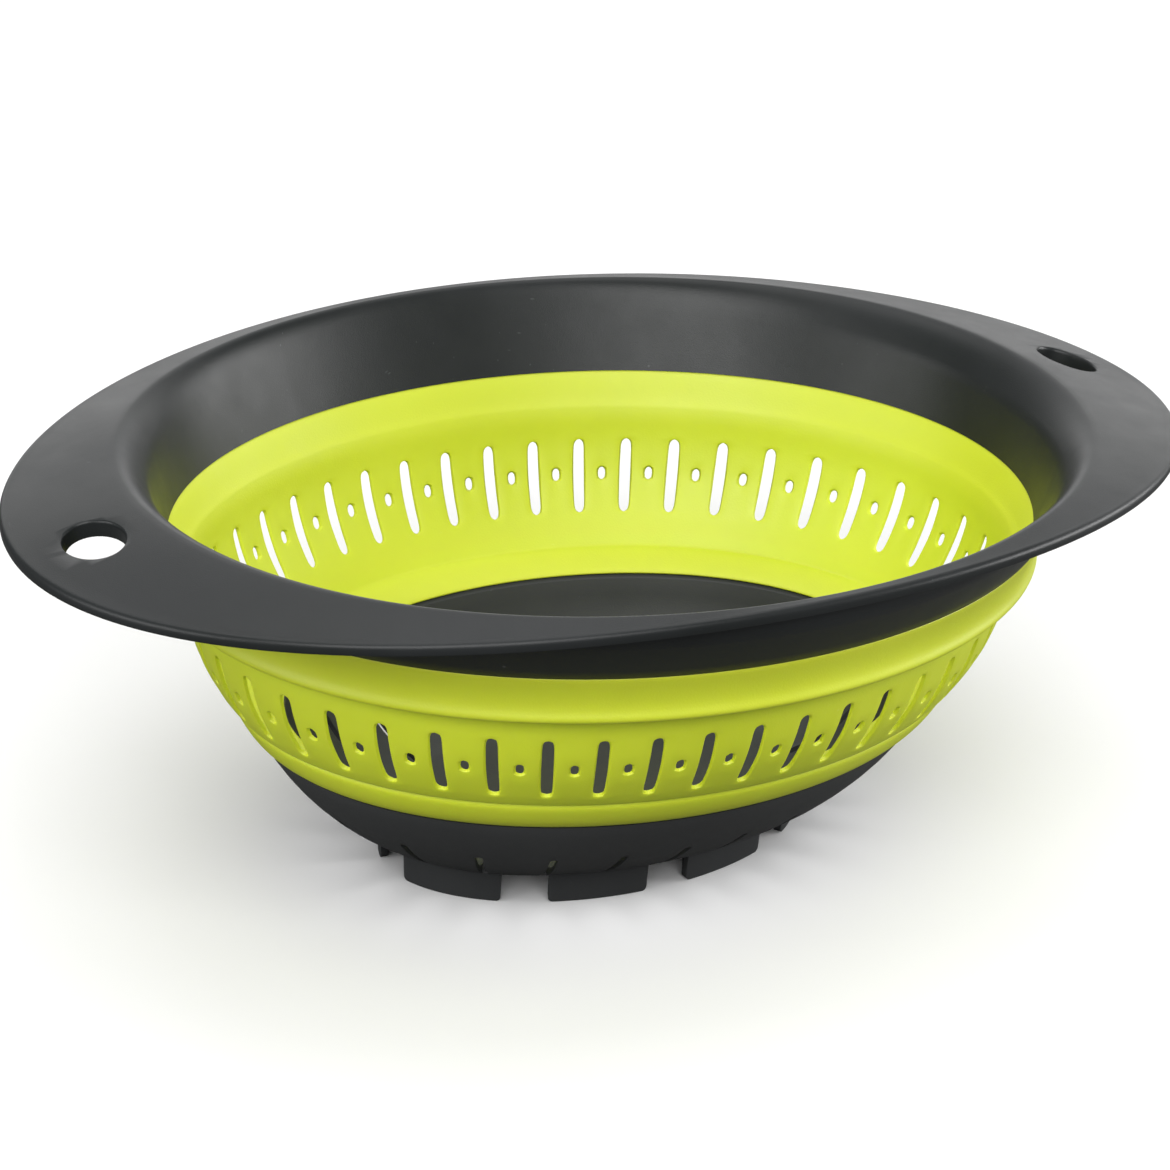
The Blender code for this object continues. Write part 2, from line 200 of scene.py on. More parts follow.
# %% Shared effects
GRAIN_ROUGHNESS = 0.6
COARSE_GRAIN_SCALE = 95.0
COARSE_GRAIN_SHARE = 0.35
CLOUD_SCALE = 16.0
GRAIN_DRIFT_SHARE = 0.5
CLOUD_DRIFT_SHARE = 0.9
DRIFT_MIDDLE = 0.7
SCRATCH_WAYS = ((0.5, 30.0), (1.9, 42.0), (2.7, 24.0))
SCRATCH_LEAN = (0.15, 0.1)
SCRATCH_CLOSENESS = (1500.0, 900.0)
SCRATCH_RARITY = 0.994
SCRATCH_EDGE = (0.15, 0.35)
SCRATCH_PATCH_SCALE = 21.0
SCRATCH_PATCH_EDGE = (0.45, 0.62)
SPECK_SCALE = 95.0
SPECK_EDGE = (0.03, 0.05)
SPECK_PATCH_SCALE = 33.0
SPECK_PATCH_EDGE = (0.60, 0.64)


def new_group(name, inputs, outputs):
    """A shader node group with float inputs (name, default) and outputs (name, kind)."""
    group = bpy.data.node_groups.new(name, "ShaderNodeTree")
    for label, default in inputs:
        socket = group.interface.new_socket(label, in_out="INPUT", socket_type="NodeSocketFloat")
        socket.default_value = default
    for label, kind in outputs:
        group.interface.new_socket(label, in_out="OUTPUT", socket_type=kind)
    return group, group.nodes.new("NodeGroupInput"), group.nodes.new("NodeGroupOutput")


def math_node(tree, operation, first, second, clamp=False):
    """A Math node whose inputs are sockets or plain numbers."""
    node = tree.nodes.new("ShaderNodeMath")
    node.operation = operation
    node.use_clamp = clamp
    for socket, value in zip(node.inputs, (first, second)):
        if isinstance(value, bpy.types.NodeSocket):
            tree.links.new(value, socket)
        else:
            socket.default_value = value
    return node.outputs[0]


def fade(tree, value, edge, first, last):
    """A Map Range node that fades from one number to another across an edge (low, high)."""
    node = tree.nodes.new("ShaderNodeMapRange")
    tree.links.new(value, node.inputs["Value"])
    for label, number in zip(("From Min", "From Max", "To Min", "To Max"), (*edge, first, last)):
        node.inputs[label].default_value = number
    return node.outputs["Result"]


def noise(tree, vector, scale, detail=3.0, roughness=0.5):
    """A Noise Texture read at a vector."""
    node = tree.nodes.new("ShaderNodeTexNoise")
    tree.links.new(vector, node.inputs["Vector"])
    if isinstance(scale, bpy.types.NodeSocket):
        tree.links.new(scale, node.inputs["Scale"])
    else:
        node.inputs["Scale"].default_value = scale
    node.inputs["Detail"].default_value = detail
    node.inputs["Roughness"].default_value = roughness
    return node.outputs["Fac"]


def build_mould_grain():
    """Fine grain of a mould: a height, and a roughness that drifts with it."""
    group, given, result = new_group(
        "Mould Grain",
        [("Grain Scale", 2600.0), ("Roughness", 0.45), ("Roughness Drift", 0.08)],
        [("Height", "NodeSocketFloat"), ("Roughness", "NodeSocketFloat"), ("Cloud", "NodeSocketFloat")],
    )
    place = group.nodes.new("ShaderNodeTexCoord").outputs["Object"]
    fine = noise(group, place, given.outputs["Grain Scale"], 2.0, GRAIN_ROUGHNESS)
    coarse = noise(group, place, COARSE_GRAIN_SCALE, 4.0, GRAIN_ROUGHNESS)
    cloud = noise(group, place, CLOUD_SCALE)
    height = math_node(group, "ADD", fine, math_node(group, "MULTIPLY", coarse, COARSE_GRAIN_SHARE))
    from_grain = math_node(group, "MULTIPLY", coarse, GRAIN_DRIFT_SHARE)
    from_cloud = math_node(group, "MULTIPLY", cloud, CLOUD_DRIFT_SHARE)
    drift = math_node(group, "SUBTRACT", math_node(group, "ADD", from_grain, from_cloud), DRIFT_MIDDLE)
    full_drift = math_node(group, "MULTIPLY", given.outputs["Roughness Drift"], 2.0)
    swing = math_node(group, "MULTIPLY", drift, full_drift)
    roughness = math_node(group, "ADD", given.outputs["Roughness"], swing, clamp=True)
    group.links.new(height, result.inputs["Height"])
    group.links.new(roughness, result.inputs["Roughness"])
    group.links.new(cloud, result.inputs["Cloud"])
    return group


def scratches_one_way(group, place, turn, stretch):
    """A mask of thin straight scratches that all run one way: rare cells of a stretched pattern."""
    turned_place = group.nodes.new("ShaderNodeMapping")
    turned_place.inputs["Rotation"].default_value = (*SCRATCH_LEAN, turn)
    group.links.new(place, turned_place.inputs["Vector"])
    drawn_out = group.nodes.new("ShaderNodeMapping")
    drawn_out.inputs["Scale"].default_value = (stretch, *SCRATCH_CLOSENESS)
    group.links.new(turned_place.outputs["Vector"], drawn_out.inputs["Vector"])
    needles = group.nodes.new("ShaderNodeTexVoronoi")
    needles.inputs["Scale"].default_value = 1.0
    group.links.new(drawn_out.outputs["Vector"], needles.inputs["Vector"])
    shade = group.nodes.new("ShaderNodeSeparateColor")
    group.links.new(needles.outputs["Color"], shade.inputs["Color"])
    chosen = math_node(group, "GREATER_THAN", shade.outputs["Red"], SCRATCH_RARITY)
    needle = fade(group, needles.outputs["Distance"], SCRATCH_EDGE, 1.0, 0.0)
    return math_node(group, "MULTIPLY", needle, chosen)


def small_specks(group, place):
    """A mask of small round specks, in patches."""
    cells = group.nodes.new("ShaderNodeTexVoronoi")
    cells.inputs["Scale"].default_value = SPECK_SCALE
    group.links.new(place, cells.inputs["Vector"])
    speck = fade(group, cells.outputs["Distance"], SPECK_EDGE, 1.0, 0.0)
    patches = fade(group, noise(group, place, SPECK_PATCH_SCALE, 1.0), SPECK_PATCH_EDGE, 0.0, 1.0)
    return math_node(group, "MULTIPLY", speck, patches)


def build_use_marks():
    """Straight hair scratches and small pale specks from use, as one mask."""
    group, given, result = new_group(
        "Use Marks",
        [("Scratches", 0.5), ("Specks", 0.5)],
        [("Mask", "NodeSocketFloat")],
    )
    place = group.nodes.new("ShaderNodeTexCoord").outputs["Object"]
    masks = [scratches_one_way(group, place, turn, stretch) for turn, stretch in SCRATCH_WAYS]
    scratches = masks[0]
    for mask in masks[1:]:
        scratches = math_node(group, "MAXIMUM", scratches, mask)
    patches = fade(group, noise(group, place, SCRATCH_PATCH_SCALE, 2.0), SCRATCH_PATCH_EDGE, 0.0, 1.0)
    scratches = math_node(group, "MULTIPLY", scratches, patches)
    scratches = math_node(group, "MULTIPLY", scratches, given.outputs["Scratches"])
    specks = math_node(group, "MULTIPLY", small_specks(group, place), given.outputs["Specks"])
    group.links.new(math_node(group, "MAXIMUM", scratches, specks), result.inputs["Mask"])
    return group


MOULD_GRAIN = build_mould_grain()
USE_MARKS = build_use_marks()
print("shared effects:", MOULD_GRAIN.name, "and", USE_MARKS.name)

# %% [markdown]
# A finish joins these effects in its own Principled shader. Colours are mixed by the slow
# cloud, marks lighten the colour and dull the gloss, and the grain reaches the surface
# through a Bump node whose distance is a few hundredths of a millimetre. Only the soft wall
# also gets some subsurface light, because rubber glows a little where light comes through it.

# %% Finishes
ROUGHNESS_DRIFT = 0.12
MARK_DULLNESS = 0.2
CLOUD_EDGE = (0.3, 0.7)
WALL_GLOW_WEIGHT = 0.45
WALL_GLOW_COLOUR = (0.6, 0.7, 0.1)
WALL_GLOW_DEPTH = 0.004


def place_group(tree, group, **values):
    """Place a shared effect in a material, with its own values."""
    node = tree.nodes.new("ShaderNodeGroup")
    node.node_tree = group
    for label, value in values.items():
        node.inputs[label.replace("_", " ")].default_value = value
    return node


def mix_colour(tree, factor, first, second):
    """A Mix node for two colours, each a socket or three numbers."""
    node = tree.nodes.new("ShaderNodeMix")
    node.data_type = "RGBA"
    tree.links.new(factor, node.inputs["Factor"])
    for socket, value in ((node.inputs[6], first), (node.inputs[7], second)):
        if isinstance(value, bpy.types.NodeSocket):
            tree.links.new(value, socket)
        else:
            socket.default_value = (*value, 1.0)
    return node.outputs[2]


def moulded_plastic(name, deep, pale, marked, roughness, grain, bump, scratches, specks, specular):
    """A moulded finish with grain, clouds and use marks."""
    material = bpy.data.materials.new(name)
    material.use_nodes = True
    tree = material.node_tree
    shader = tree.nodes["Principled BSDF"]
    shader.inputs["Specular IOR Level"].default_value = specular
    effect = place_group(
        tree, MOULD_GRAIN, Grain_Scale=grain, Roughness=roughness, Roughness_Drift=ROUGHNESS_DRIFT
    )
    marks = place_group(tree, USE_MARKS, Scratches=scratches, Specks=specks)
    cloud = fade(tree, effect.outputs["Cloud"], CLOUD_EDGE, 0.0, 1.0)
    colour = mix_colour(tree, cloud, deep, pale)
    colour = mix_colour(tree, marks.outputs["Mask"], colour, marked)
    tree.links.new(colour, shader.inputs["Base Color"])
    dullness = math_node(tree, "MULTIPLY", marks.outputs["Mask"], MARK_DULLNESS)
    duller = math_node(tree, "ADD", effect.outputs["Roughness"], dullness, clamp=True)
    tree.links.new(duller, shader.inputs["Roughness"])
    relief = tree.nodes.new("ShaderNodeBump")
    relief.inputs["Strength"].default_value = 1.0
    relief.inputs["Distance"].default_value = bump
    tree.links.new(effect.outputs["Height"], relief.inputs["Height"])
    tree.links.new(relief.outputs["Normal"], shader.inputs["Normal"])
    return material


rim_finish = moulded_plastic(
    "anthracite_rim",
    deep=(0.011, 0.013, 0.013),
    pale=(0.018, 0.020, 0.021),
    marked=(0.10, 0.105, 0.11),
    roughness=0.38,
    grain=2600.0,
    bump=0.00004,
    scratches=0.35,
    specks=0.6,
    specular=0.32,
)
base_finish = moulded_plastic(
    "anthracite_base",
    deep=(0.034, 0.036, 0.037),
    pale=(0.046, 0.048, 0.049),
    marked=(0.11, 0.115, 0.12),
    roughness=0.46,
    grain=2400.0,
    bump=0.00004,
    scratches=0.3,
    specks=0.4,
    specular=0.35,
)
wall_finish = moulded_plastic(
    "soft_lime",
    deep=(0.59, 0.67, 0.020),
    pale=(0.64, 0.72, 0.030),
    marked=(0.74, 0.80, 0.20),
    roughness=0.52,
    grain=1800.0,
    bump=0.00005,
    scratches=0.15,
    specks=0.2,
    specular=0.70,
)
wall_shader = wall_finish.node_tree.nodes["Principled BSDF"]
wall_shader.inputs["Subsurface Weight"].default_value = WALL_GLOW_WEIGHT
wall_shader.inputs["Subsurface Radius"].default_value = WALL_GLOW_COLOUR
wall_shader.inputs["Subsurface Scale"].default_value = WALL_GLOW_DEPTH
print("finishes:", [finish.name for finish in (rim_finish, base_finish, wall_finish)])

# %% [markdown]
# ## The rim
# The rim is the top of the bowl's wall and a flange around it. The wall leans out and rolls
# over into the flange: with a wide round at the two ends, and a tight one along the sides,
# where the flange is little more than an edge. At the ends the flange is a handle that slopes
# down a little. Its outer edge turns down into a short lip, which stiffens it.
# A round section can't say all this, so each row of the section has five numbers of its own:
# its reach along X, its reach along Y, its height, how far it droops at the two ends, and how
# far it is pulled in there. The spin makes the rows and columns, and each corner is then moved
# to where its row says.

# %% Rows of a section
def even_row(radius, height):
    """A row on the bowl's own oval: reach along X, reach along Y, height, droop, pull."""
    return (radius + OVAL, radius - OVAL, height, 0.0, 0.0)


def rows_between(first, last, shares, droop_power=1.0):
    """Rows at shares of the way from one row to another."""
    rows = []
    for share in shares:
        row = [a + (b - a) * share for a, b in zip(first, last)]
        row[3] = first[3] + (last[3] - first[3]) * share**droop_power
        rows.append(tuple(row))
    return rows


def rows_rounding(first, corner, last, steps):
    """Rows on a smooth curve from one row to another, drawn towards a corner row, without its ends."""
    rows = []
    for step in range(1, steps):
        share = step / steps
        weights = ((1 - share) ** 2, 2 * share * (1 - share), share**2)
        numbers = zip(first, corner, last)
        rows.append(tuple(sum(w * v for w, v in zip(weights, values)) for values in numbers))
    return rows


def quarter_round(low, high, steps):
    """Rows on a quarter round, upright at low and level at high, without its two ends."""
    rows = []
    for step in range(1, steps):
        angle = math.pi / 2 * step / steps
        outward, upward = 1 - math.cos(angle), math.sin(angle)
        row = [a + (b - a) * outward for a, b in zip(low, high)]
        row[2] = low[2] + (high[2] - low[2]) * upward
        rows.append(tuple(row))
    return rows


def spin_rows(rows, columns):
    """Spin a section of rows, and give every corner the number of its row."""
    mesh = bmesh.new()
    row_of = mesh.verts.layers.int.new("row")
    corners = []
    for index, row in enumerate(rows):
        corner = mesh.verts.new(((row[0] + row[1]) / 2, 0.0, row[2]))
        corner[row_of] = index
        corners.append(corner)
    edges = [mesh.edges.new(pair) for pair in zip(corners, corners[1:] + corners[:1])]
    full_spin(mesh, corners, edges, columns)
    return mesh, row_of


print("a row of the oval:", [round(number, 4) for number in even_row(MOUTH_RADIUS, 0.0)])

# %% [markdown]
# The rim's section goes up the inside of the wall, over the mouth, out along the flange, round
# its edge and lip, and back underneath. The rounding over the mouth is a smooth curve from the
# head of the wall to the start of the flange, drawn towards a corner that it never reaches. At
# the two ends this rounding is pulled in a little, because the mouth is blunter there than a
# plain oval.

# %% Rim
WALL_FOOT_RADIUS = 0.1172
WALL_FOOT = 0.0994
JOINT_RISE = 0.0030
RIM_WALL = 0.0044
RIM_TOP = 0.1248
MOUTH_DEPTH = 0.0085
HEAD_ALONG = 0.1352
HEAD_ACROSS = 0.1156
CORNER_ALONG = 0.1412
CORNER_ACROSS = 0.1174
END_DEPTH = 0.0098
SIDE_DEPTH = 0.0038
FLANGE_THICKNESS = 0.0024
EDGE_ROUND = 0.0016
LIP_WALL = 0.0016
LIP_HEIGHT = 0.0034
LIP_ROUND = 0.0005
LIP_ROUND_CUT_SHARE = 0.3
END_REACH = 0.1800
SIDE_REACH = 0.1221
END_DROOP = 0.0081
START_ALONG = 0.1457
START_ACROSS = 0.1188
END_PULL = 0.0018
UNDER_START_INSET = 0.0005
OUTER_HEAD_INSET_ALONG = 0.0048
OUTER_HEAD_INSET_ACROSS = 0.0010
LIP_FILLET_ALONG = 0.0003
LIP_FILLET_DOWN = 0.0004
RIM_COLUMNS = 256
MOUTH_STEPS = 12
EDGE_STEPS = 5
UNDER_STEPS = 6
FLANGE_DROOP_POWER = 1.15
INNER_WALL_SHARES = (0.15, 0.32, 0.5, 0.68, 0.85)
FLANGE_SHARES = (0.06, 0.16, 0.3, 0.5, 0.7, 0.88)
UNDER_SHARES = (0.12, 0.3, 0.5, 0.7, 0.88, 0.96)
OUTER_WALL_SHARES = (0.2, 0.4, 0.6, 0.8)


def edge_row(inset, drop):
    """A row along the flange's edge, moved in from it and down from its top."""
    return (END_REACH - inset, SIDE_REACH - inset, RIM_TOP - drop, END_DROOP, 0.0)


def rim_rows():
    """All rows of the rim, from the foot of its wall up, over and back."""
    foot = even_row(WALL_FOOT_RADIUS, WALL_FOOT)
    head = (HEAD_ALONG, HEAD_ACROSS, RIM_TOP - SIDE_DEPTH, END_DEPTH - SIDE_DEPTH, END_PULL)
    corner = (CORNER_ALONG, CORNER_ACROSS, RIM_TOP, 0.0, END_PULL)
    start = (START_ALONG, START_ACROSS, RIM_TOP, 0.0, END_PULL)
    under_start = (
        START_ALONG - UNDER_START_INSET,
        START_ACROSS - UNDER_START_INSET,
        RIM_TOP - FLANGE_THICKNESS,
        0.0,
        END_PULL,
    )
    outer_head = (
        START_ALONG - OUTER_HEAD_INSET_ALONG,
        START_ACROSS - OUTER_HEAD_INSET_ACROSS,
        RIM_TOP - MOUTH_DEPTH,
        0.0,
        END_PULL,
    )
    outer_foot = even_row(WALL_FOOT_RADIUS + RIM_WALL, WALL_FOOT + JOINT_RISE)
    rows = [foot, *rows_between(foot, head, INNER_WALL_SHARES), head]
    rows += [*rows_rounding(head, corner, start, MOUTH_STEPS), start]
    rows += rows_between(start, edge_row(EDGE_ROUND, 0.0), FLANGE_SHARES, FLANGE_DROOP_POWER)
    for step in range(EDGE_STEPS + 1):
        angle = math.pi / 2 * step / EDGE_STEPS
        rows.append(edge_row(EDGE_ROUND * (1 - math.sin(angle)), EDGE_ROUND * (1 - math.cos(angle))))
    rows.append(edge_row(0.0, LIP_HEIGHT - LIP_ROUND))
    lip_cut = LIP_ROUND * LIP_ROUND_CUT_SHARE
    rows.append(edge_row(lip_cut, LIP_HEIGHT - lip_cut))
    rows.append(edge_row(LIP_ROUND, LIP_HEIGHT))
    rows.append(edge_row(LIP_WALL - LIP_ROUND, LIP_HEIGHT))
    rows.append(edge_row(LIP_WALL, LIP_HEIGHT - LIP_ROUND))
    rows.append(edge_row(LIP_WALL, FLANGE_THICKNESS + LIP_FILLET_DOWN))
    under_edge = edge_row(LIP_WALL + LIP_FILLET_ALONG, FLANGE_THICKNESS)
    rows += [under_edge, *rows_between(under_edge, under_start, UNDER_SHARES), under_start]
    rows += [*reversed(quarter_round(outer_head, under_start, UNDER_STEPS)), outer_head]
    rows += [*rows_between(outer_head, outer_foot, OUTER_WALL_SHARES), outer_foot]
    return rows


def lay_rows(mesh, row_of, rows):
    """Move every corner to the place that its row says."""
    for corner in mesh.verts:
        along, across, height, droop, pull = rows[corner[row_of]]
        turn = math.atan2(corner.co.y, corner.co.x)
        end_share = math.cos(turn) ** 2
        reach = along - pull * end_share**3
        corner.co = Vector((reach * math.cos(turn), across * math.sin(turn), height - droop * end_share))


rim_mesh, row_of = spin_rows(rim_rows(), RIM_COLUMNS)
lay_rows(rim_mesh, row_of, rim_rows())
rim = make_object("rim_shell", rim_mesh)
print("rim faces:", len(rim.data.polygons))

# %% [markdown]
# Each end of the flange has an oval hanging hole. A short collar under the flange makes the
# hole deeper than the flange is thick, so its dark wall shows. The cutter is itself a small
# spin. It flares at the top, so that it leaves a rounded edge behind, as a mould does.
# Both tools are turned a little about their own axis, so that none of their corners falls on a
# column of the flange, where a cut can go wrong. As a check, the holes are counted from the
# mesh: in a closed ring, corners less edges plus faces is minus two for every hole through it.

# %% Hanging holes
HOLE_LENGTH = 0.0162
HOLE_WIDTH = 0.0212
HOLE_INSET = 0.0190
HOLE_EDGE = 0.0011
COLLAR_WALL = 0.0024
COLLAR_DEPTH = 0.0050
COLLAR_SINK = 0.0012
CUT_OVERRUN = 0.004
PLUG_TURN = 0.05
PLUG_COLUMNS = 40


def hole_axis(side):
    """Place and tilt of a hanging hole: its Z axis stands square on the sloping flange."""
    reach = END_REACH - HOLE_INSET - START_ALONG
    slope = END_DROOP / (END_REACH - START_ALONG)
    place = Vector((side * (END_REACH - HOLE_INSET), 0.0, RIM_TOP - slope * reach))
    return Matrix.Translation(place) @ Matrix.Rotation(side * math.atan(slope), 4, "Y")


def oval_plug(name, side, points, wall):
    """A small solid of revolution, stretched to the hole's oval and set on its axis."""
    mesh = spin_section([(0.0, points[0][1]), *points, (0.0, points[-1][1])], PLUG_COLUMNS)
    long_side = (HOLE_LENGTH / 2 + wall) / (HOLE_WIDTH / 2 + wall)
    off_the_seam = Matrix.Rotation(PLUG_TURN, 4, "Z")
    mesh.transform(hole_axis(side) @ Matrix.Diagonal((long_side, 1.0, 1.0, 1.0)) @ off_the_seam)
    bmesh.ops.recalc_face_normals(mesh, faces=mesh.faces)
    return make_object(name, mesh)


half_hole = HOLE_WIDTH / 2
collar_radius = half_hole + COLLAR_WALL
collar_outline = [(collar_radius, -COLLAR_SINK), (collar_radius, -COLLAR_DEPTH)]
hole_outline = [
    (half_hole + HOLE_EDGE, CUT_OVERRUN),
    *arc(half_hole + HOLE_EDGE, -HOLE_EDGE, HOLE_EDGE, 90, 180, 5),
    (half_hole, -COLLAR_DEPTH - CUT_OVERRUN),
]
for side in (-1, 1):
    cut_or_join(rim, oval_plug("collar", side, collar_outline, COLLAR_WALL), "UNION")
    cut_or_join(rim, oval_plug("hole", side, hole_outline, 0.0), "DIFFERENCE")
finish_piece(rim, rim_finish)
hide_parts("rim")
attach(rim, "rim")
euler = len(rim.data.vertices) - len(rim.data.edges) + len(rim.data.polygons)
print("rim done:", len(rim.data.polygons), "faces,", -euler // 2, "hanging holes")

# %% [markdown]
# ## The soft wall
# The green wall is one moulding from the rim down to the base: a collar under the rim, a fold
# ring with a small bead, the slotted band, a second fold ring, and a collar with a sloping
# ledge inside. It is drawn as one closed section, about 2 mm thick, and thinner in the band.
# The band's rows are set where the slots and dots will need them. Each corner of the section
# carries a number, its row, and the spin copies the number to every column. That is how the
# faces that become holes are found later.

# %% Soft wall section
SOFT_WALL = 0.0020
SKIN = 0.0015
BAND_FOOT = (0.0958, 0.0520)
BAND_HEAD = (0.1110, 0.0872)
BAND_BOW = 0.0036
BAND_SHARES = (0.09, 0.15, 0.20, 0.23, 0.268, 0.385, 0.49, 0.582, 0.68, 0.772, 0.808, 0.836, 0.89, 0.95)
SLOT_ROWS = (3, 10)
DOT_ROWS = (6, 7)
INNER_ROW = 100
OUTER_ROW = 200
SLOT_COUNT = 47
COLUMNS_PER_SLOT = 6
COLUMNS = SLOT_COUNT * COLUMNS_PER_SLOT
BAND_MIDDLE_RADIUS = 0.1060


def band_point(share, side, lift=0.0):
    """A point of the band's section: side is 0 on the inside and 1 on the outside."""
    foot = Vector(BAND_FOOT)
    run = Vector(BAND_HEAD) - foot
    outward = Vector((run.y, -run.x)).normalized()
    centre = foot + run * share + outward * BAND_BOW * 4 * share * (1 - share)
    slope = run + outward * BAND_BOW * 4 * (1 - 2 * share)
    normal = Vector((slope.y, -slope.x)).normalized()
    depth = (SOFT_WALL - SKIN) / 2
    return centre + normal * (depth + SKIN * side + (lift if side else -lift))


def wall_section():
    """The closed section of the soft wall as (radius, height, row), down inside and up outside."""
    collar_inside = [
        (0.1172, 0.0992), (0.1162, 0.0972), (0.1152, 0.0951), (0.1143, 0.0931), (0.1134, 0.0913),
        (0.1128, 0.0904), (0.1123, 0.0896), (0.1120, 0.0886), (0.1116, 0.0874),
    ]
    ledge = [
        (0.0958, 0.0512), (0.0952, 0.0504), (0.0946, 0.0501), (0.0936, 0.0501), (0.0902, 0.0491),
        (0.0862, 0.0478), (0.0839, 0.0470), (0.0832, 0.0464), (0.0834, 0.0459), (0.0843, 0.0460),
        (0.0880, 0.0473), (0.0914, 0.0484), (0.0921, 0.0477), (0.0911, 0.0454), (0.0897, 0.0434),
        (0.0901, 0.0431),
    ]
    collar_outside = [
        (0.0914, 0.0431), (0.0926, 0.0437), (0.0943, 0.0451), (0.0960, 0.0472), (0.0974, 0.0495),
        (0.0983, 0.0512), (0.0987, 0.0523), (0.0986, 0.0532), (0.0981, 0.0537),
    ]
    bead = [
        (0.1134, 0.0868), (0.1143, 0.0873), (0.1156, 0.0875), (0.1172, 0.0875), (0.1183, 0.0876),
        (0.1189, 0.0881), (0.1193, 0.0888), (0.1193, 0.0897), (0.1188, 0.0908), (0.1186, 0.0925),
        (0.1191, 0.0955), (0.1202, 0.0988), (0.1211, 0.1010), (0.1213, 0.1020), (0.1210, 0.1023),
        (0.1205, 0.1021), (0.1195, 0.1013), (0.1182, 0.0997),
    ]
    section = [(radius, height, 0) for radius, height in collar_inside]
    for index in reversed(range(len(BAND_SHARES))):
        section.append((*band_point(BAND_SHARES[index], 0), INNER_ROW + index))
    section += [(radius, height, 0) for radius, height in ledge + collar_outside]
    for index, share in enumerate(BAND_SHARES):
        section.append((*band_point(share, 1), OUTER_ROW + index))
    section += [(radius, height, 0) for radius, height in bead]
    return section


section = wall_section()
wall_mesh, row_of = spin_rows([(radius, radius, height) for radius, height, _ in section], COLUMNS)
for corner in wall_mesh.verts:
    corner[row_of] = section[corner[row_of]][2]
print("wall before its slots:", len(wall_mesh.faces), "faces")

# %% [markdown]
# The slots stand between the columns where a slot's middle falls, and a small dot sits halfway
# between each two slots. Faces two columns wide are taken out of both skins. Then the two
# edges of every hole are bridged, which makes the hole's wall.
# The corners around a hole are moved to give the slot its real width and its rounded ends, and
# they are lifted a little, because the mould leaves a soft raised lip there. One level of
# subdivision then rounds everything. The lower end of a hole drops a little towards the inside,
# so that water runs in and doesn't stand there.

# %% Slots and dots
SLOT_WIDTH = 0.0029
SLOT_END_WIDTH_SHARE = 0.52
DOT_WIDTH = 0.0026
DOT_END_WIDTH_SHARE = 0.75
END_TUCK_SHARE = 0.014
DRAFT_SHARE = 0.009
LIP_LIFT = 0.00020


def column_of(place):
    """Which column of the wall a place stands over, as a number with a fraction."""
    return math.atan2(place.y, place.x) / math.tau * COLUMNS


def hole_of(place):
    """The nearest hole: odd numbers are slots, even ones are dots. Also the columns off its middle."""
    half_pitch = COLUMNS_PER_SLOT / 2
    number = round(column_of(place) / half_pitch)
    return number % (2 * SLOT_COUNT), column_of(place) - number * half_pitch


def in_hole(face):
    """Whether a face of the band belongs to a slot or a dot."""
    rows = {corner[row_of] for corner in face.verts}
    low = min(rows) % INNER_ROW
    if min(rows) < INNER_ROW or max(rows) - min(rows) != 1:
        return False
    number, off = hole_of(face.calc_center_median())
    first, last = SLOT_ROWS if number % 2 else DOT_ROWS
    return abs(off) < 1 and first <= low < last


def shape_hole_edge(corner):
    """Give a corner on the edge of a hole its final place in the band."""
    side = 1 if corner[row_of] >= OUTER_ROW else 0
    index = corner[row_of] % INNER_ROW
    number, off = hole_of(corner.co)
    middle = math.tau * (column_of(corner.co) - off) / COLUMNS
    is_slot = number % 2 == 1
    first, last = SLOT_ROWS if is_slot else DOT_ROWS
    width = SLOT_WIDTH if is_slot else DOT_WIDTH
    share = BAND_SHARES[index]
    if index in (first, last) and abs(off) > 0.5:
        share += END_TUCK_SHARE if index == first else -END_TUCK_SHARE
        width *= SLOT_END_WIDTH_SHARE if is_slot else DOT_END_WIDTH_SHARE
    if index == first and side == 0:
        share -= DRAFT_SHARE
    radius, height = band_point(share, side, LIP_LIFT)
    half = 0.0 if abs(off) < 0.5 else math.copysign(width / 2, off)
    angle = middle + half / radius
    corner.co = Vector((radius * math.cos(angle), radius * math.sin(angle), height))


bmesh.ops.delete(wall_mesh, geom=[face for face in wall_mesh.faces if in_hole(face)], context="FACES")
hole_edges = {}
for edge in wall_mesh.edges:
    if edge.is_boundary:
        centre = (edge.verts[0].co + edge.verts[1].co) / 2
        hole_edges.setdefault(hole_of(centre)[0], []).append(edge)
for edges in hole_edges.values():
    bmesh.ops.bridge_loops(wall_mesh, edges=edges)
    for corner in {corner for edge in edges for corner in edge.verts}:
        shape_hole_edge(corner)
bmesh.ops.recalc_face_normals(wall_mesh, faces=wall_mesh.faces)
lay_on_oval(wall_mesh, BAND_MIDDLE_RADIUS)
soft_wall = make_object("soft_wall", wall_mesh, wall_finish)
smooth = soft_wall.modifiers.new("smooth", "SUBSURF")
smooth.levels = smooth.render_levels = 1
bake_modifiers(soft_wall)
soft_wall.data.shade_smooth()
print("holes:", len(hole_edges), "- wall faces:", len(soft_wall.data.polygons))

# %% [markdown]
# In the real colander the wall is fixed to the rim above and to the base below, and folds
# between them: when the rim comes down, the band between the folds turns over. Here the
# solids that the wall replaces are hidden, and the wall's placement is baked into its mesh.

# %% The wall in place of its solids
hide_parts("upper_collar", "strainer_band", "lower_collar")
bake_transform(soft_wall)

# %% [markdown]
# ## The base dish
# The dish is stiff and fairly thick. Its section runs from the axis along the underside, round
# the foot ring and up the outside, then back down the inside. Its rim is narrower than its
# wall, because the soft collar is moulded around it.

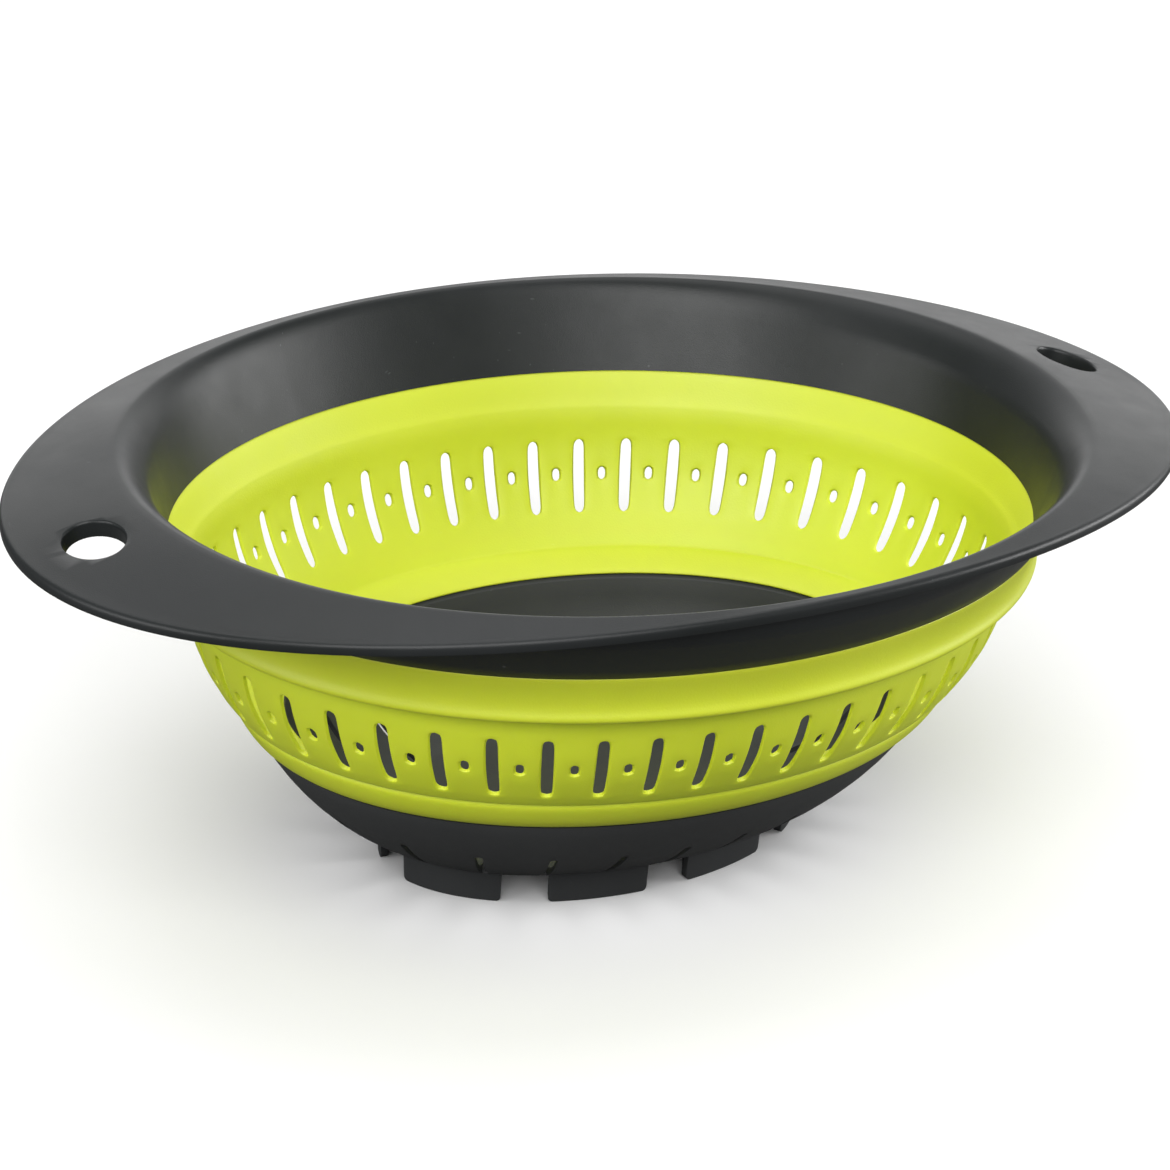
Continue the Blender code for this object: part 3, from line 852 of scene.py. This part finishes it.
# %% Base dish
FOOT_HEIGHT = 0.0095
FOOT_RADIUS = 0.0548
FOOT_WALL = 0.0024
FOOT_COUNT = 8
FOOT_NOTCH_WIDTH = 0.0135
FLOOR_RADIUS = 0.0566
DISH_RADIUS = 0.0915
DISH_TOP = 0.0428
FLOOR_TOP = 0.0116
DRAIN_COUNT = 24
DRAIN_WIDTH = 0.0023
DRAIN_REACH = 0.0280
FOOT_CORNER = 0.0014
FOOT_DRAFT = 0.0006
FLOOR_RING_RADII = (0.018, 0.036)
OUTER_BOW = 0.0036
INNER_BOW = 0.0066
INNER_TOP = (0.0829, 0.0446)
INNER_FOOT = (0.0555, FLOOR_TOP + 0.0006)
INNER_FLOOR_RADIUS = 0.0535
OUTER_STEPS = 9
INNER_STEPS = 10
DISH_COLUMNS = 192


def dish_section():
    """The section of the dish and its foot ring, from the axis out and back to the axis."""
    foot_inner = FOOT_RADIUS - FOOT_WALL
    points = [(0.0, FOOT_HEIGHT), *((radius, FOOT_HEIGHT) for radius in FLOOR_RING_RADII)]
    points += [(foot_inner, FOOT_HEIGHT), (foot_inner, 0.0), (FOOT_RADIUS, 0.0)]
    points += [(FOOT_RADIUS + FOOT_DRAFT, FOOT_HEIGHT), (FLOOR_RADIUS, FOOT_HEIGHT)]
    points += curve_between((FLOOR_RADIUS, FOOT_HEIGHT), (DISH_RADIUS, DISH_TOP), OUTER_BOW, OUTER_STEPS)
    points += [(DISH_RADIUS, DISH_TOP), (0.0894, DISH_TOP), (0.0908, 0.0452), (0.0917, 0.0474)]
    points += [(0.0912, 0.0479), (0.0880, 0.0468), (0.0839, 0.0454), INNER_TOP]
    points += curve_between(INNER_TOP, INNER_FOOT, INNER_BOW, INNER_STEPS)
    points += [INNER_FOOT, (INNER_FLOOR_RADIUS, FLOOR_TOP)]
    points += [*((radius, FLOOR_TOP) for radius in reversed(FLOOR_RING_RADII)), (0.0, FLOOR_TOP)]
    return points


dish_mesh = spin_section(dish_section(), DISH_COLUMNS)
lay_on_oval(dish_mesh)
dish = make_object("dish_shell", dish_mesh)
print("dish faces:", len(dish.data.polygons))

# %% [markdown]
# Eight notches part the foot ring into feet, so that water runs out from under the base. Long
# narrow slits run from under the dish's lowest corner up its wall and drain it. A notch's cutter
# widens at the floor in two small arcs, which leaves feet with rounded corners, and a slit's
# cutter is a plate with round ends. Each is drawn as one flat outline, extruded, and set square
# on the oval at an even distance from the next. All of one kind are cut at once.

# %% Notches and drain slits
NOTCH_OVERRUN = 0.001
NOTCH_HEADROOM = 0.0001
SLIT_PLATE_DEPTH = 0.012
SLIT_EXTRA_LEAN = math.radians(4)
EDGE_SOFTNESS = 0.00045
SOFTENED_ANGLE = math.radians(40)
SMALL_TURN = 0.001


def even_turns(count, first=0.0):
    """Angles of a round column that come out evenly spaced once they lie on the oval."""
    return [math.tau * (step + first) / count for step in range(count)]


def outward_frame(radius, turn, height, lean=0.0):
    """A frame on the oval: X runs along the outline, Y into the bowl, and Z up the wall."""
    place = oval_place(radius, turn, height)
    ahead = oval_place(radius, turn + SMALL_TURN, height) - oval_place(radius, turn - SMALL_TURN, height)
    along = ahead.normalized()
    straight_up = Vector((0.0, 0.0, 1.0))
    outward = along.cross(straight_up)
    up = (straight_up * math.cos(lean) + outward * math.sin(lean)).normalized()
    inward = up.cross(along)
    stand = Matrix((along, inward, up)).transposed().to_4x4()
    stand.translation = place
    return stand


def add_plate(mesh, outline, depth, stand):
    """Extrude a flat outline, drawn along X and up Z, to a depth across a frame's Y."""
    face = mesh.faces.new([mesh.verts.new((x, -depth / 2, z)) for x, z in outline])
    made = bmesh.ops.extrude_face_region(mesh, geom=[face])["geom"]
    far_corners = [item for item in made if isinstance(item, bmesh.types.BMVert)]
    bmesh.ops.translate(mesh, verts=far_corners, vec=(0.0, depth, 0.0))
    corners = {corner for corner in far_corners for edge in corner.link_edges for corner in edge.verts}
    bmesh.ops.transform(mesh, matrix=stand, verts=list(corners))


def cut_plates(piece, name, outline, depth, stands):
    """Cut the same plate out of a piece at every one of the places."""
    cutter_mesh = bmesh.new()
    for stand in stands:
        add_plate(cutter_mesh, outline, depth, stand)
    bmesh.ops.recalc_face_normals(cutter_mesh, faces=cutter_mesh.faces)
    cut_or_join(piece, make_object(name, cutter_mesh), "DIFFERENCE")


half_notch = FOOT_NOTCH_WIDTH / 2
right_arc = arc(half_notch + FOOT_CORNER, FOOT_CORNER, FOOT_CORNER, 180, 270, 5)
notch_outline = [(half_notch, FOOT_HEIGHT - NOTCH_HEADROOM), *right_arc]
notch_outline.append((half_notch + FOOT_CORNER, -NOTCH_OVERRUN))
notch_outline += [(-x, z) for x, z in reversed(notch_outline)]
notch_stands = [outward_frame(FOOT_RADIUS, turn, 0.0) for turn in even_turns(FOOT_COUNT)]
cut_plates(dish, "notches", notch_outline, 4 * FOOT_WALL, notch_stands)

lean = math.atan2(DISH_RADIUS - FLOOR_RADIUS, DISH_TOP - FOOT_HEIGHT) + SLIT_EXTRA_LEAN
slit_radius = FLOOR_RADIUS + DRAIN_REACH / 2 * math.sin(lean)
slit_height = FOOT_HEIGHT + DRAIN_REACH / 2 * math.cos(lean)
half_width = DRAIN_WIDTH / 2
slit_outline = arc(0.0, DRAIN_REACH / 2 - half_width, half_width, 0, 180, 8)
slit_outline += [(-half_width, -DRAIN_REACH / 2), (half_width, -DRAIN_REACH / 2)]
slit_turns = even_turns(DRAIN_COUNT, 0.5)
slit_stands = [outward_frame(slit_radius, turn, slit_height, lean) for turn in slit_turns]
cut_plates(dish, "slits", slit_outline, SLIT_PLATE_DEPTH, slit_stands)
soften = dish.modifiers.new("soften", "BEVEL")
soften.width = EDGE_SOFTNESS
soften.segments = 2
soften.limit_method = "ANGLE"
soften.angle_limit = SOFTENED_ANGLE
bake_modifiers(dish)
finish_piece(dish, base_finish)
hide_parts("base_dish")
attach(dish, "base")
print("dish done:", len(dish.data.polygons), "faces")

# %% [markdown]
# ## The studio
# A plain white floor and five large soft lights: a high key panel in front on the left, one
# above, one behind, and a small low one at each side. The floor is staging, not a part of the
# object.
# In the photograph the floor is almost white, but the underside of the colander stays dark. So
# the floor and the sky are bright only where the camera sees them. Every other ray finds them
# dim, and they throw little light up on the object.

# %% Floor and lights
SKY_SEEN = 1.0
SKY_LIGHT = 0.20
FLOOR_SEEN = 0.94
FLOOR_BOUNCE = 0.10
FLOOR_HALF_SIZE = 4.0
FLOOR_GAP = 0.0002
FLOOR_ROUGHNESS = 0.75
BOWL_MIDDLE = (0.0, 0.0, 0.08)
BOWL_TOP = (0.0, 0.0, 0.12)

floor_mesh = bmesh.new()
bmesh.ops.create_grid(floor_mesh, x_segments=1, y_segments=1, size=FLOOR_HALF_SIZE)
bmesh.ops.translate(floor_mesh, verts=floor_mesh.verts, vec=(0.0, 0.0, -FLOOR_GAP))
floor_finish = bpy.data.materials.new("floor_white")
floor_finish.use_nodes = True
floor_shader = floor_finish.node_tree.nodes["Principled BSDF"]
floor_shader.inputs["Roughness"].default_value = FLOOR_ROUGHNESS
seen = floor_finish.node_tree.nodes.new("ShaderNodeLightPath").outputs["Is Camera Ray"]
floor_colour = mix_colour(floor_finish.node_tree, seen, (FLOOR_BOUNCE,) * 3, (FLOOR_SEEN,) * 3)
floor_finish.node_tree.links.new(floor_colour, floor_shader.inputs["Base Color"])
floor = make_object("floor", floor_mesh, floor_finish)

world = bpy.data.worlds.new("studio")
world.use_nodes = True
background = world.node_tree.nodes["Background"]
background.inputs["Color"].default_value = (1.0, 1.0, 1.0, 1.0)
sky_strength = world.node_tree.nodes.new("ShaderNodeMath")
sky_strength.operation = "MULTIPLY_ADD"
sky_strength.inputs[1].default_value = SKY_SEEN - SKY_LIGHT
sky_strength.inputs[2].default_value = SKY_LIGHT
sky_seen = world.node_tree.nodes.new("ShaderNodeLightPath").outputs["Is Camera Ray"]
world.node_tree.links.new(sky_seen, sky_strength.inputs[0])
world.node_tree.links.new(sky_strength.outputs["Value"], background.inputs["Strength"])
bpy.context.scene.world = world
bpy.context.scene.view_settings.view_transform = "Standard"


def soft_panel(name, place, aim, wide, high, power):
    """A large area light that looks at a point."""
    light = bpy.data.lights.new(name, "AREA")
    light.shape = "RECTANGLE"
    light.size = wide
    light.size_y = high
    light.energy = power
    lamp = bpy.data.objects.new(name, light)
    lamp.location = place
    lamp.rotation_euler = (Vector(aim) - Vector(place)).to_track_quat("-Z", "Y").to_euler()
    bpy.context.scene.collection.objects.link(lamp)


soft_panel("key_panel", (-0.62, -1.10, 1.10), BOWL_MIDDLE, wide=1.4, high=1.0, power=23.5)
soft_panel("top_panel", (0.10, 0.35, 1.45), BOWL_MIDDLE, wide=1.5, high=1.3, power=10.5)
soft_panel("back_panel", (0.85, 1.25, 0.58), BOWL_TOP, wide=2.6, high=1.1, power=11.5)
soft_panel("left_panel", (-1.40, 0.05, 0.40), BOWL_MIDDLE, wide=1.2, high=0.7, power=9.5)
soft_panel("right_panel", (1.35, -0.45, 0.35), BOWL_MIDDLE, wide=1.1, high=0.6, power=15.0)

# %% [markdown]
# The photograph looks down on the colander from nearer the left handle. A long lens at a
# little over a metre gives the same mild perspective. The camera leans by a few degrees,
# because the colander stands a few degrees aslant in the photograph.

# %% Camera
CAMERA_PLACE = Vector((-0.6125, -0.9505, 0.5911))
CAMERA_AIM = Vector((-0.0089, -0.0043, 0.0805))
CAMERA_ROLL = math.radians(3.29)
CAMERA_LENS = 133.2
CAMERA_SENSOR = 36.0

camera_data = bpy.data.cameras.new("camera")
camera_data.sensor_width = CAMERA_SENSOR
camera_data.lens = CAMERA_LENS
camera = bpy.data.objects.new("camera", camera_data)
bpy.context.scene.collection.objects.link(camera)
view_turn = (CAMERA_AIM - CAMERA_PLACE).to_track_quat("-Z", "Y").to_matrix().to_4x4()
camera.matrix_world = (
    Matrix.Translation(CAMERA_PLACE) @ view_turn @ Matrix.Rotation(CAMERA_ROLL, 4, "Z")
)
bpy.context.scene.camera = camera
print("camera at", tuple(round(value, 3) for value in CAMERA_PLACE))
